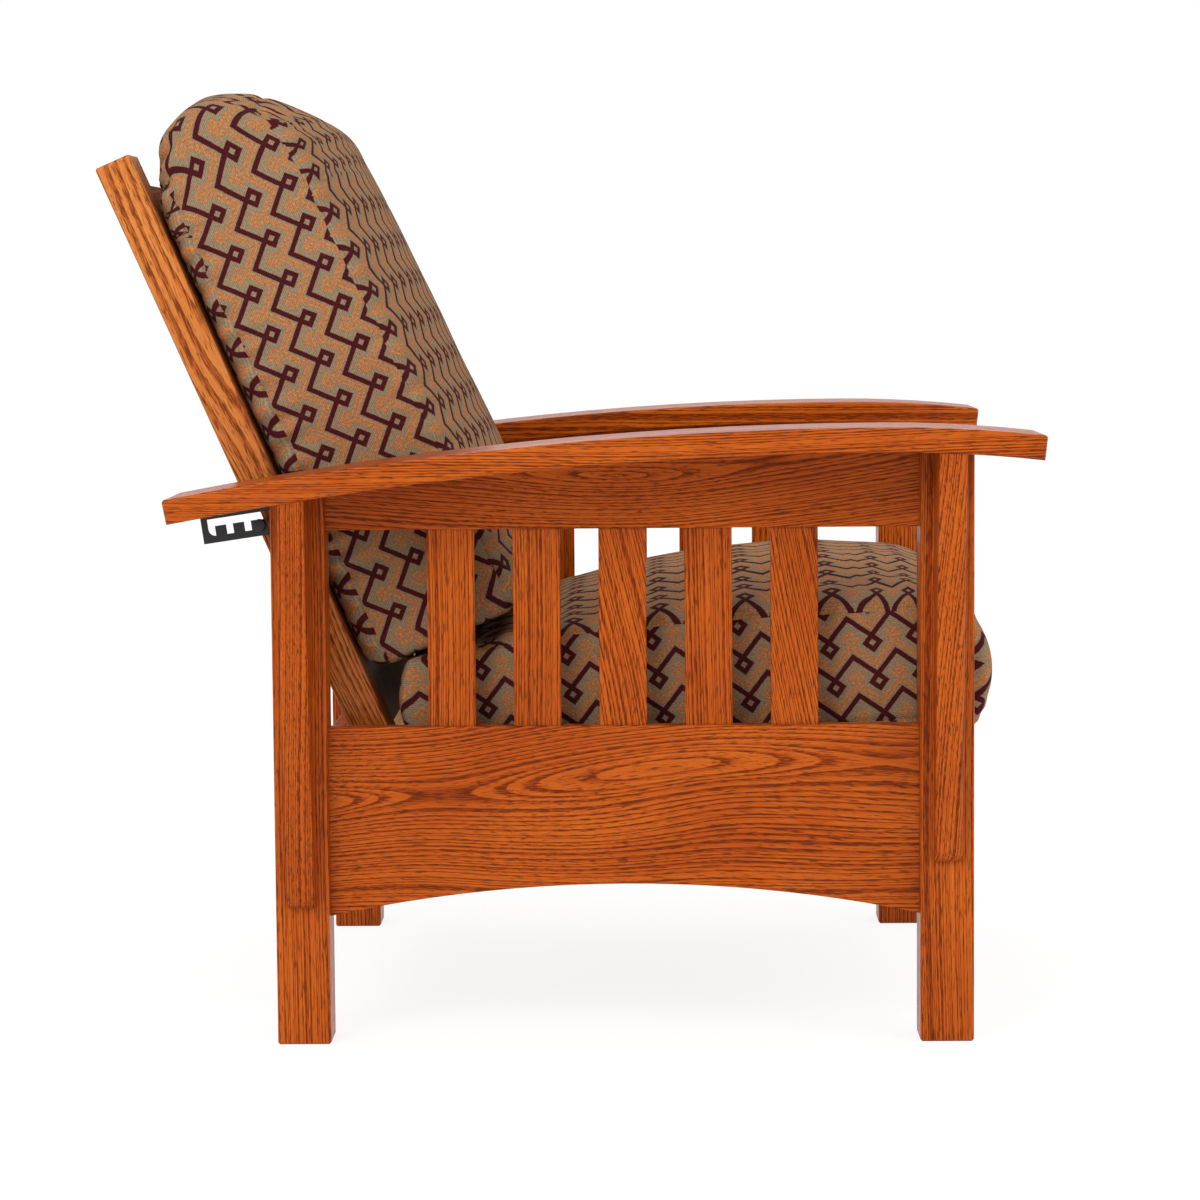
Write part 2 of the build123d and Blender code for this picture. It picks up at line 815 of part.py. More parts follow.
def make_all():
    ceiling = above_underside()
    front_rail_top = seat_height(front_post_forward - rail_thickness / 2)
    cross_rails = {
        "front": (front_post_forward, front_rail_top),
        "rear": (rear_post_forward, rear_rail_top),
    }
    nodes = {}
    for end, (forward, top) in cross_rails.items():
        nodes[f"{end}_rail"] = make_cross_rail(forward, top)
        mortise = cross_rail_tenons(forward, top, joint_clearance)
        for name, side in sides.items():
            nodes[f"{end}_post_{name}"] = make_post(side, forward, mortise, ceiling)
            nodes[f"{end}_corbel_{name}"] = make_corbel(side, forward, ceiling)
    for name, side in sides.items():
        nodes[f"rear_post_{name}"] -= plate_post_screws(side, running_clearance)
        nodes[f"arm_{name}"] = make_arm(side)
        nodes[f"lower_side_rail_{name}"] = make_lower_side_rail(side)
        nodes[f"upper_side_rail_{name}"] = make_upper_side_rail(side, ceiling)
        for number, forward in enumerate(slat_places()):
            nodes[f"side_slat_{name}_{number + 1}"] = make_slat(side, forward)
        nodes[f"seat_bearer_{name}"] = make_bearer(side)
        nodes[f"seat_bearer_screws_{name}"] = bearer_screws(side, 0)
        nodes[f"notched_plate_{name}"] = make_plate(side)
        plate_screws = [plate_arm_screws(side, 0), plate_post_screws(side, 0)]
        nodes[f"notched_plate_screws_{name}"] = gathered(plate_screws)
        nodes[f"back_stile_{name}"] = make_stile(side)
        nodes[f"pivot_bolt_{name}"] = make_pivot_bolt(side)
        nodes[f"pivot_washer_{name}"] = make_washer(side)
    slat_middles, slat_board_width = seat_slat_places()
    for number, forward in enumerate(slat_middles):
        nodes[f"seat_slat_{number + 1}"] = make_seat_slat(forward, slat_board_width)
    nodes["seat_slat_screws"] = seat_slat_screws(0)
    for name, (base, height) in back_members().items():
        nodes[name] = make_back_member(base, height)
    nodes["back_panel"] = on_back() * panel_board(0)
    nodes["support_rod"] = make_rod()
    nodes["seat_cushion"] = crowned(seat_outline, seat_half_width)
    nodes["back_cushion"] = on_back() * crowned(back_outline, back_half_width)
    return nodes


def place_of(point):
    return [round(value / 1000, 6) for value in point]


nodes = make_all()
boxes = [shape.bounding_box() for shape in nodes.values()]
front_reach = min(box.min.Y for box in boxes)
rear_reach = max(box.max.Y for box in boxes)
shift = -(front_reach + rear_reach) / 2
os.makedirs("parts", exist_ok=True)
for name, shape in nodes.items():
    export_step(Pos(0, shift, 0) * shape, f"parts/{name}.step")

last_turn = turn_to(rod_centre(notch_places()[-1]))
travel = last_notch - first_notch
print("pieces", len(nodes), "depth", round(rear_reach - front_reach, 2))
print("pivot", place_of((0, shift - pivot_forward(), pivot_height)))
print("recline in degrees", round(last_turn, 4), "rod travel in metres", round(travel / 1000, 6))
print("ratio", round(travel / 1000 / math.radians(last_turn), 6))
for end, forward in (("rear", rear_post_forward), ("front", front_post_forward)):
    print(end, "feet", place_of((post_x, shift - forward, 0)))
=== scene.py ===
import bpy
import bmesh
import math
from mathutils import Matrix, Vector, noise


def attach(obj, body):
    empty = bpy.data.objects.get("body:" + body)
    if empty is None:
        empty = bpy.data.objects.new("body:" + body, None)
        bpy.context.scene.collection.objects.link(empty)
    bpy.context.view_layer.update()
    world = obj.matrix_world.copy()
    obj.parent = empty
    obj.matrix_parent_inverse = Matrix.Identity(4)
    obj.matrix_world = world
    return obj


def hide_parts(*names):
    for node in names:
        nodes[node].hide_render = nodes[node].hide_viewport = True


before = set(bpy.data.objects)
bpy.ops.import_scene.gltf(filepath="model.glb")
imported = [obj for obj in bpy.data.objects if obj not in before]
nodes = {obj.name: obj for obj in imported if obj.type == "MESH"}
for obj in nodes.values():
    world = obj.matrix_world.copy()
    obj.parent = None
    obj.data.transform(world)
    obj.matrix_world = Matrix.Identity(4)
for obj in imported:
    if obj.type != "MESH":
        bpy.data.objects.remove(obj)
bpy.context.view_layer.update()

print("frame loaded:", len(nodes), "nodes")

# places shared with the frame, in metres and degrees
chair = {
    "frontShift": 0.300354,   # y of the rear posts' back faces
    "pivot": (0.0, 0.175154, 0.246),
    "lean": 23.65,
    "seatTilt": 3.05,
    "seatRear": 0.279796,     # height of the seat slats' plane at the rear posts' back faces
    "stileFront": 0.0195,
    "armInside": 0.3115,
    "rodPlace": (-0.0160, 0.5336),   # forward and up, from the rear posts' back faces
}


def deselectAll():
    if bpy.context.object and bpy.context.object.mode != "OBJECT":
        bpy.ops.object.mode_set(mode="OBJECT")
    bpy.ops.object.select_all(action="DESELECT")


def makeActive(piece):
    deselectAll()
    piece.select_set(True)
    bpy.context.view_layer.objects.active = piece


def applyModifiers(piece):
    makeActive(piece)
    for modifier in list(piece.modifiers):
        bpy.ops.object.modifier_apply(modifier=modifier.name)


def smoothShare(share):
    # held between nothing and one, with soft ends
    share = max(0.0, min(1.0, share))
    return share * share * (3 - 2 * share)


# colours and nodes

def linearColor(hexValue):
    parts = [int(hexValue[i:i + 2], 16) / 255 for i in (1, 3, 5)]
    return tuple(c / 12.92 if c <= 0.04045 else ((c + 0.055) / 1.055) ** 2.4 for c in parts) + (1.0,)


def grey(value):
    return (value, value, value, 1.0)


def addNode(tree, kind, options=None, inputs=None):
    # inputs are values, or sockets to link from
    node = tree.nodes.new(kind)
    for name, value in (options or {}).items():
        setattr(node, name, value)
    for name, value in (inputs or {}).items():
        if isinstance(value, bpy.types.NodeSocket):
            tree.links.new(value, node.inputs[name])
        else:
            node.inputs[name].default_value = value
    return node


def newMaterial(name):
    material = bpy.data.materials.new(name)
    material.use_nodes = True
    tree = material.node_tree
    return material, tree, tree.nodes["Principled BSDF"]


def setShader(tree, shader, values):
    for name, value in values.items():
        if isinstance(value, bpy.types.NodeSocket):
            tree.links.new(value, shader.inputs[name])
        else:
            shader.inputs[name].default_value = value


def objectPlace(tree):
    return addNode(tree, "ShaderNodeTexCoord").outputs["Object"]


def mapped(tree, vector, scale=(1.0, 1.0, 1.0), turn=(0, 0, 0), shift=(0.0, 0.0, 0.0)):
    return addNode(tree, "ShaderNodeMapping", inputs={
        "Vector": vector, "Scale": scale, "Location": shift,
        "Rotation": [math.radians(a) for a in turn]}).outputs["Vector"]


def noiseNode(tree, vector, scale, detail, roughness=0.5):
    return addNode(tree, "ShaderNodeTexNoise", inputs={
        "Vector": vector, "Scale": scale, "Detail": detail, "Roughness": roughness}).outputs


def mathNode(tree, operation, a, b=0.0, c=0.0):
    return addNode(tree, "ShaderNodeMath", {"operation": operation}, {0: a, 1: b, 2: c}).outputs["Value"]


def vectorNode(tree, operation, inputs):
    return addNode(tree, "ShaderNodeVectorMath", {"operation": operation}, inputs).outputs


def smoothStep(tree, value, low, high, first=0.0, last=1.0):
    return addNode(tree, "ShaderNodeMapRange", {"interpolation_type": "SMOOTHSTEP"}, {
        "Value": value, "From Min": low, "From Max": high,
        "To Min": first, "To Max": last}).outputs["Result"]


def mixColor(tree, share, first, second):
    return addNode(tree, "ShaderNodeMix", {"data_type": "RGBA"}, {0: share, 6: first, 7: second}).outputs[2]


def bumpNode(tree, height, strength, distance, invert=False):
    return addNode(tree, "ShaderNodeBump", {"invert": invert}, {
        "Height": height, "Strength": strength, "Distance": distance}).outputs["Normal"]


def rampNode(tree, factor, stops):
    node = addNode(tree, "ShaderNodeValToRGB", inputs={"Fac": factor})
    ramp = node.color_ramp
    while len(ramp.elements) < len(stops):
        ramp.elements.new(0.5)
    for element, (position, color) in zip(ramp.elements, stops):
        element.position = position
        element.color = linearColor(color) if isinstance(color, str) else color
    return node.outputs["Color"]


# stained red oak under satin lacquer: rows of open pores read as fine dark dashes,
# growth rings open into tall arches where a face lies near the tree's middle

oakLook = {
    "light": "#c4621c", "middle": "#a3420b", "dark": "#742705", "pore": "#461604",
    "lightAt": 0.90, "middleAt": 0.62, "darkAt": 0.38,   # where they stand in the blend below
    "base": 0.36, "earlyShade": -0.26, "fibreShade": 0.45, "patchShade": 0.35,
    # early wood, where the pores sit, is the first third of each ring
    "early": ((0.0, 0.0), (0.10, 1.0), (0.30, 0.85), (0.55, 0.12), (1.0, 0.0)),
    "slowWaves": (4.0, 4.0, 1.8), "slowDetail": 1.6, "slowRoughness": 0.35,   # waves to the metre
    "driftShare": 1 / 250,   # metres of drift that the noise gives for each millimetre asked for
    "yearWaves": 300, "yearSwing": 3.2,   # good and lean years, so that the rings aren't evenly wide
    "poreMm": 1.3, "poreLengthMm": 16, "fibreMm": 0.9,   # drawn coarser than real so that they show
    "poreDetail": 1.5, "poreInEarly": 0.17, "poreFrom": 0.56, "poreTo": 0.72, "poreShade": 0.72,
    "poreBump": 0.2, "poreDepth": 0.0003, "poreDull": 0.2,
    "fibreAlong": 30.0, "patchScale": 2.8, "fineRoughness": 0.6,
    "roughness": 0.36, "specular": 0.22, "coat": 0.1, "coatRoughness": 0.12,
    "lacquer": "#ffb873",   # amber lacquer keeps even its shine warm
}

# grain directions: z as it is, y and x turned onto z, and the leaning stiles
grainUp = (0, 0, 0)
grainAlong = (90, 0, 0)
grainAcross = (0, -90, 0)
grainLeaning = (chair["lean"], 0, 0)

# heart is where the tree's middle lay beside the board, in the turned space, and how it leans
oakBoards = {
    "Posts": {"turn": grainUp, "heart": (-0.15, 0.90, 0.4), "ringMm": 3.0, "driftMm": 5},
    "SlatsStraight": {"turn": grainUp, "heart": (0.05, -0.72, 0.5), "ringMm": 3.0, "driftMm": 6},
    "SlatsArched": {"turn": grainUp, "heart": (-0.285, -0.03, 12), "ringMm": 3.4, "driftMm": 20},
    "Corbels": {"turn": grainUp, "heart": (-0.1, -0.9, 0.5), "ringMm": 3.0, "driftMm": 5, "tone": -0.02},
    "Arms": {"turn": grainAlong, "heart": (-0.5, -1.05, 1), "ringMm": 3.0, "driftMm": 8, "tone": 0.01},
    "UpperRails": {"turn": grainAlong, "heart": (-0.292, -0.548, 4), "ringMm": 3.8, "driftMm": 28,
                   "tone": -0.02},
    "LowerRails": {"turn": grainAlong, "heart": (-0.292, -0.210, 2), "ringMm": 4.2, "driftMm": 26},
    "CrossRails": {"turn": grainAcross, "heart": (-0.62, 0.42, 2), "ringMm": 4.2, "driftMm": 18},
    # the stiles are drawn paler and less saturated than the rest: a painted sheen, for the light they catch
    # as they lean back
    "StilesPaintedSheen": {"turn": grainLeaning, "heart": (-0.280, 0.060, 2), "ringMm": 4.6, "driftMm": 34,
               "tone": 0.04, "light": "#ce8040", "middle": "#b05c26"},
}


def stainedOak(name, board):
    material, tree, shader = newMaterial(name)
    look = oakLook
    turned = mapped(tree, objectPlace(tree), turn=board["turn"])
    # the rings wander sideways slowly, with a little quick waviness on top
    slowPlace = mapped(tree, turned, look["slowWaves"])
    slow = noiseNode(tree, slowPlace, 1.0, look["slowDetail"], look["slowRoughness"])["Color"]
    reach = board["driftMm"] * look["driftShare"]
    drift = vectorNode(tree, "MULTIPLY_ADD", {0: slow, 1: (reach, reach, 0.0), 2: turned})["Vector"]
    heartX, heartY, heartLean = board["heart"]
    ringPlace = mapped(tree, drift, turn=(heartLean, 0, 0), shift=(-heartX, -heartY, 0.0))
    flat = vectorNode(tree, "MULTIPLY", {0: ringPlace, 1: (1.0, 1.0, 0.0)})["Vector"]
    radius = vectorNode(tree, "LENGTH", {0: flat})["Value"]
    years = mathNode(tree, "MULTIPLY", radius, look["yearWaves"] / board["ringMm"])
    uneven = addNode(tree, "ShaderNodeTexNoise", {"noise_dimensions": "1D"}, {
        "W": years, "Scale": 1.0, "Detail": 2.0}).outputs["Fac"]
    plainAge = mathNode(tree, "MULTIPLY", radius, 1000 / board["ringMm"])
    age = mathNode(tree, "MULTIPLY_ADD", uneven, look["yearSwing"], plainAge)
    season = mathNode(tree, "FRACT", age)
    early = rampNode(tree, season, [(place, grey(value)) for place, value in look["early"]])
    poreScale = 1000 / look["poreMm"]
    porePlace = mapped(tree, drift, (poreScale, poreScale, 1000 / look["poreLengthMm"]))
    poreNoise = noiseNode(tree, porePlace, 1.0, look["poreDetail"], look["fineRoughness"])["Fac"]
    poreField = mathNode(tree, "MULTIPLY_ADD", early, look["poreInEarly"], poreNoise)
    pores = smoothStep(tree, poreField, look["poreFrom"], look["poreTo"])
    fibreScale = 1000 / look["fibreMm"]
    fibrePlace = mapped(tree, drift, (fibreScale, fibreScale, look["fibreAlong"]))
    fibre = noiseNode(tree, fibrePlace, 1.0, 2.0, look["fineRoughness"])["Fac"]
    patches = noiseNode(tree, slowPlace, look["patchScale"], 2.0)["Fac"]
    base = mathNode(tree, "MULTIPLY_ADD", early, look["earlyShade"], look["base"] + board.get("tone", 0.0))
    withFibre = mathNode(tree, "MULTIPLY_ADD", fibre, look["fibreShade"], base)
    blend = mathNode(tree, "MULTIPLY_ADD", patches, look["patchShade"], withFibre)
    wood = rampNode(tree, blend, [
        (look["darkAt"], look["dark"]),
        (look["middleAt"], board.get("middle", look["middle"])),
        (look["lightAt"], board.get("light", look["light"]))])
    poreShare = mathNode(tree, "MULTIPLY", pores, look["poreShade"])
    rough = addNode(tree, "ShaderNodeMapRange", inputs={
        "Value": poreShare, "To Min": look["roughness"], "To Max": look["roughness"] + look["poreDull"]})
    setShader(tree, shader, {
        "Base Color": mixColor(tree, poreShare, wood, linearColor(look["pore"])),
        "Roughness": rough.outputs["Result"],
        "Normal": bumpNode(tree, pores, look["poreBump"], look["poreDepth"], invert=True),
        "Specular IOR Level": look["specular"], "Specular Tint": linearColor(look["lacquer"]),
        "Coat Weight": look["coat"], "Coat Roughness": look["coatRoughness"]})
    return material


oak = {name: stainedOak("stainedOak" + name, board) for name, board in oakBoards.items()}
print("oak ready")


# plain hardwood of the seat support, sanded and left pale

hardwoodLook = {
    "grain": (8.0, 420.0, 420.0),   # fine fibres that run across the chair
    "stops": ((0.3, "#a77b4c"), (0.6, "#c39a68"), (0.8, "#cfab7c")),
    "roughness": 0.6,
}


def plainHardwood():
    material, tree, shader = newMaterial("plainHardwood")
    grain = mapped(tree, objectPlace(tree), hardwoodLook["grain"])
    fibre = noiseNode(tree, grain, 1.0, 3.0, 0.6)["Fac"]
    setShader(tree, shader, {
        "Base Color": rampNode(tree, fibre, hardwoodLook["stops"]),
        "Roughness": hardwoodLook["roughness"]})
    return material


# black satin lacquer on steel: near black, soft broad highlights, faint orange peel

steelLook = {
    "peelScale": 900.0, "peelBump": 0.1, "peelDepth": 0.0003,
    "stops": ((0.35, "#0c0b0b"), (0.7, "#151413")),
    "roughness": 0.38,
}


def blackSteel():
    material, tree, shader = newMaterial("blackLacqueredSteel")
    peel = noiseNode(tree, objectPlace(tree), steelLook["peelScale"], 2.0)["Fac"]
    setShader(tree, shader, {
        "Base Color": rampNode(tree, peel, steelLook["stops"]),
        "Normal": bumpNode(tree, peel, steelLook["peelBump"], steelLook["peelDepth"]),
        "Roughness": steelLook["roughness"]})
    return material


# thin woven lining cloth glued over the board behind the seat

liningLook = {
    "cloudScale": 14.0, "weaveScale": 1200.0, "weaveShare": 0.4, "weaveBump": 0.3, "weaveDepth": 0.0004,
    "stops": ((0.5, "#8b8375"), (0.95, "#aaa291")),
    "roughness": 0.9, "sheen": 0.2,
}


def liningCloth():
    material, tree, shader = newMaterial("greyLiningCloth")
    place = objectPlace(tree)
    cloudy = noiseNode(tree, place, liningLook["cloudScale"], 3.0)["Fac"]
    weave = noiseNode(tree, place, liningLook["weaveScale"], 1.0)["Fac"]
    total = mathNode(tree, "MULTIPLY_ADD", weave, liningLook["weaveShare"], cloudy)
    setShader(tree, shader, {
        "Base Color": rampNode(tree, total, liningLook["stops"]),
        "Normal": bumpNode(tree, weave, liningLook["weaveBump"], liningLook["weaveDepth"]),
        "Roughness": liningLook["roughness"], "Sheen Weight": liningLook["sheen"]})
    return material


# chenille upholstery: taupe ground, burgundy zigzag with small open squares,
# and a two-thread orange zigzag beside it, all in millimetres on the cloth's own UV

clothLook = {
    "period": 45.0, "rows": 40.5, "swing": 21.2,
    "slope": 0.728, "loopSlope": 0.707,   # across a slanted line, for each millimetre across the cloth
    "darkHalf": 2.6, "loop": 7.4,
    "orangeShift": 29.6, "orangeMiddle": 2.1, "orangeHalf": 0.7, "orangeLoop": 5.0, "orangeGap": 2,
    "between": 0.12, "edgeSoft": 0.4, "threadSoft": 0.3,
    "wanderScale": 260.0, "wanderReach": 0.0010,   # threads wander by a fraction of a millimetre
    "ribMm": 1.9, "ribShade": 0.25, "yarnScale": 420.0, "yarnShade": 0.8,
    "linePile": 0.5, "ribPile": 0.5, "yarnPile": 0.6, "pileBump": 0.5, "pileDepth": 0.0007,
    "ground": ((0.30, "#6e5a45"), (0.62, "#907c61"), (0.85, "#a89475")),
    "burgundy": ((0.35, "#370f13"), (0.65, "#4d171a")),
    "orange": ((0.32, "#944816"), (0.5, "#c66820"), (0.72, "#db8a3c")),
    "roughness": 0.95, "specular": 0.1,
}


def zigzagChenille():
    material, tree, shader = newMaterial("zigzagChenille")
    look = clothLook

    def calc(operation, a, b=0.0, c=0.0):
        return mathNode(tree, operation, a, b, c)

    cloth = addNode(tree, "ShaderNodeUVMap", {"uv_map": "cloth"}).outputs["UV"]
    wander = noiseNode(tree, cloth, look["wanderScale"], 2.0)["Color"]
    reach = (look["wanderReach"], look["wanderReach"], 0.0)
    loose = vectorNode(tree, "MULTIPLY_ADD", {0: wander, 1: reach, 2: cloth})["Vector"]
    scaled = vectorNode(tree, "SCALE", {0: loose, "Scale": 1000.0})["Vector"]
    split = addNode(tree, "ShaderNodeSeparateXYZ", inputs={"Vector": scaled})
    across, along = split.outputs["X"], split.outputs["Y"]
    half = look["period"] / 2
    halfRow = look["rows"] / 2
    peak = look["swing"] / 2
    fold = calc("PINGPONG", along, half)
    ridge = calc("MULTIPLY_ADD", fold, -look["swing"] / half, peak)
    fromRidge = calc("SUBTRACT", across, ridge)

    def away(value, place, limit):
        # distance from the nearest repeat of a place
        return calc("ABSOLUTE", calc("WRAP", calc("SUBTRACT", value, place), limit, -limit))

    def stripe(shift):
        return calc("MULTIPLY", away(fromRidge, shift, halfRow), look["slope"])

    def loopStripe(alongPlace, acrossPlace, reach):
        down = away(along, alongPlace, half)
        side = away(across, acrossPlace, halfRow)
        ring = calc("ABSOLUTE", calc("SUBTRACT", calc("ADD", down, side), reach))
        return calc("MULTIPLY", ring, look["loopSlope"])

    def mask(distance, limit, soft=look["edgeSoft"]):
        return smoothStep(tree, distance, limit - soft, limit + soft, 1.0, 0.0)

    dark = calc("MINIMUM", stripe(0.0), loopStripe(0.0, peak + look["loop"], look["loop"]))
    loopPlace = look["orangeShift"] - peak - look["orangeLoop"] - look["orangeGap"]
    orange = calc("MINIMUM", stripe(look["orangeShift"]), loopStripe(half, loopPlace, look["orangeLoop"]))
    darkMask = mask(dark, look["darkHalf"])
    # two orange threads with a browner line between them
    fromThread = calc("ABSOLUTE", calc("SUBTRACT", orange, look["orangeMiddle"]))
    threads = mask(fromThread, look["orangeHalf"], look["threadSoft"])
    between = mask(orange, look["orangeMiddle"])
    orangeMask = calc("MAXIMUM", threads, calc("MULTIPLY", between, look["between"]))

    # heathered yarn and fine ribs
    yarn = noiseNode(tree, cloth, look["yarnScale"], 3.0, 0.7)["Fac"]
    ribs = calc("PINGPONG", across, look["ribMm"] / 2)
    ribShare = calc("MULTIPLY", ribs, 2 / look["ribMm"])
    groundBlend = calc("MULTIPLY_ADD", ribShare, look["ribShade"], calc("MULTIPLY", yarn, look["yarnShade"]))
    ground = rampNode(tree, groundBlend, look["ground"])
    withOrange = mixColor(tree, orangeMask, ground, rampNode(tree, yarn, look["orange"]))
    withDark = mixColor(tree, darkMask, withOrange, rampNode(tree, yarn, look["burgundy"]))
    ribsAndYarn = calc("MULTIPLY_ADD", ribShare, look["ribPile"], calc("MULTIPLY", yarn, look["yarnPile"]))
    lines = calc("MAXIMUM", darkMask, orangeMask)
    pile = calc("MULTIPLY_ADD", lines, look["linePile"], ribsAndYarn)
    setShader(tree, shader, {
        "Base Color": withDark,
        "Normal": bumpNode(tree, pile, look["pileBump"], look["pileDepth"]),
        "Roughness": look["roughness"], "Specular IOR Level": look["specular"]})
    return material


paleWood = plainHardwood()
steel = blackSteel()
lining = liningCloth()
upholstery = zigzagChenille()
print("materials ready")


# every node keeps its CAD mesh and gets its finish, from the first line whose start fits

finishes = [
    (("arm_",), oak["Arms"]),
    (("front_post", "rear_post"), oak["Posts"]),
    (("front_corbel", "rear_corbel"), oak["Corbels"]),
    (("side_slat_left_3", "side_slat_left_5", "side_slat_right_3", "side_slat_right_5"), oak["SlatsArched"]),
    (("side_slat",), oak["SlatsStraight"]),
    (("upper_side_rail",), oak["UpperRails"]),
    (("lower_side_rail",), oak["LowerRails"]),
    (("front_rail", "rear_rail", "crest_rail", "ladder_slat", "back_bottom_rail"), oak["CrossRails"]),
    (("back_stile",), oak["StilesPaintedSheen"]),
    (("back_panel",), lining),
    (("notched_plate", "pivot_", "support_rod", "seat_bearer_screws", "seat_slat_screws"), steel),
    (("seat_slat", "seat_bearer"), paleWood),
]

for nodeName, nodeObject in nodes.items():
    for starts, material in finishes:
        if nodeName.startswith(starts):
            nodeObject.data.materials.clear()
            nodeObject.data.materials.append(material)
            break
print("node finishes set")


# cushions: each starts as its CAD form, swells as cloth, and is sewn along two seams
# form space has x across, y along the cushion and z through its thickness

def seatSpace():
    return (Matrix.Translation((0, chair["frontShift"], chair["seatRear"]))
            @ Matrix.Rotation(math.radians(-chair["seatTilt"]), 4, "X"))


def backSpace():
    upright = Matrix(((1, 0, 0, 0), (0, 0, -1, -chair["stileFront"]), (0, 1, 0, 0), (0, 0, 0, 1)))
    return (Matrix.Translation(chair["pivot"])
            @ Matrix.Rotation(math.radians(-chair["lean"]), 4, "X") @ upright)


# what both cushions share: the remesh and the swelling, with give as the part of it that is kept
padding = {
    "voxel": 0.006, "start": 0.004, "pressure": 4.0, "frames": 20, "cap": 0.022, "give": 0.30,
    "weldWithin": 0.00005, "seamSnap": 0.0018, "seamHeld": 0.0015, "bisectWithin": 0.00001,
    "quality": 4, "mass": 0.3, "stiffness": 18, "shear": 8, "bending": 0.8,
    "endKept": 0.01, "endFade": 0.05,    # the inner end keeps its form, then frees over endFade
    # the cloth rolls over the upper end, which slides and stretches its pattern
    "rollOver": 0.11, "patternShift": 0.011, "patternStretch": 0.35,
    # lengths of the seams' waves and groove, in metres, and how deep they go
    "waveReach": 0.022, "grooveReach": 0.0035, "groove": 0.0022, "wrinkle": 0.0012, "wrinkleRate": 14,
    "roughAlong": 23, "roughAcross": 9, "roughTurn": 2.6, "roughShare": 0.8,
    "bedHeight": 0.004, "bedShare": 0.3,   # the waves nearly vanish where the cushion lies on its bed
    "endSpan": 0.115,                    # how far the free end's rounding reaches back
}

seatCushion = {
    "node": "seat_cushion", "name": "seatCushion", "body": "frame", "space": seatSpace(), "end": -1,
    "halfWidth": 0.3085, "corner": 0.035, "ends": (0.134, 0.728), "rowTilt": -6.5, "rowFlip": 1,
    # (along, height) of the seams under and over the boxing
    "lowSeam": ((0.10, 0.012), (0.75, 0.012)),
    "highSeam": ((0.10, 0.106), (0.20, 0.113), (0.324, 0.120), (0.412, 0.124), (0.50, 0.128),
                 (0.58, 0.128), (0.70, 0.125), (0.76, 0.122)),
    "lowPucker": 0.0012, "highPucker": 0.0010, "puckerMm": 34, "endGather": 0.0,
    "bed": {"flat": 0.008, "reach": 0.03},
    "widest": 0.3105, "floor": 0.0006,
}
backCushion = {
    "node": "back_cushion", "name": "backCushion", "body": "back", "space": backSpace(), "end": 1,
    "halfWidth": 0.298, "corner": 0.06, "ends": (0.131, 0.735), "rowTilt": 0.0, "rowFlip": -1,
    "lowSeam": ((0.10, 0.026), (0.38, 0.029), (0.46, 0.026), (0.60, 0.023), (0.76, 0.024)),
    "highSeam": ((0.10, 0.168), (0.34, 0.166), (0.41, 0.164), (0.50, 0.160), (0.60, 0.157),
                 (0.65, 0.154), (0.69, 0.146), (0.76, 0.128)),
    "lowPucker": 0.0024, "highPucker": 0.0009, "puckerMm": 30, "endGather": 0.9,
    # heights and widths of the free end's bulge, of its rolled rear edge and of its dropped front edge
    "rounding": {"bulge": 0.021, "bulgeAt": 0.078, "bulgeWide": 0.044, "roll": 0.050, "rollWide": 0.027,
                 "drop": 0.012, "dropAt": 0.178, "dropWide": 0.040},
    "bed": {"flat": 0.014, "reach": 0.05},
    # it lies on the stiles and sinks a little between and beside them
    "widest": 0.3060, "floor": 0.0005, "stileSpan": (0.226, 0.297), "floorBeside": -0.0035,
    "innerEnd": 0.1312,
}


def seamAt(points, along):
    if along <= points[0][0]:
        return points[0][1]
    for (a, low), (b, high) in zip(points, points[1:]):
        if along <= b:
            share = (along - a) / (b - a)
            return low + (high - low) * share
    return points[-1][1]


def cutSeam(mesh, points, end):
    # bends the seam flat, cuts along it and bends it back
    bm = bmesh.new()
    bm.from_mesh(mesh)
    for vert in bm.verts:
        vert.co.z -= seamAt(points, vert.co.y * end)
        if abs(vert.co.z) < padding["seamSnap"]:
            vert.co.z = 0
    bmesh.ops.bisect_plane(bm, geom=bm.verts[:] + bm.edges[:] + bm.faces[:], dist=padding["bisectWithin"],
                           plane_co=(0, 0, 0), plane_no=(0, 0, 1))
    for vert in bm.verts:
        vert.co.z += seamAt(points, vert.co.y * end)
    bm.to_mesh(mesh)
    bm.free()


def ringLength(x, y, form):
    # how far round the boxing a point lies, from the near side's start over the far end
    halfWidth, corner = form["halfWidth"], form["corner"]
    low, high = form["ends"]
    side = abs(x)
    y = y * form["end"]
    quarter = corner * math.pi / 2
    middle = high - corner + quarter + halfWidth - corner
    dx = max(0.0, side - (halfWidth - corner))
    dHigh = max(0.0, y - (high - corner))
    dLow = max(0.0, (low + corner) - y)
    if dHigh > 0 and dx > 0:
        length = high - corner + corner * math.atan2(dHigh, dx)
    elif dHigh > 0:
        length = high - corner + quarter + halfWidth - corner - side
    elif dLow > 0 and dx > 0:
        length = low + corner - corner * math.atan2(dLow, dx)
    elif dLow > 0:
        length = low + corner - quarter - (halfWidth - corner - side)
    else:
        length = y
    return length if x < 0 else 2 * middle - length


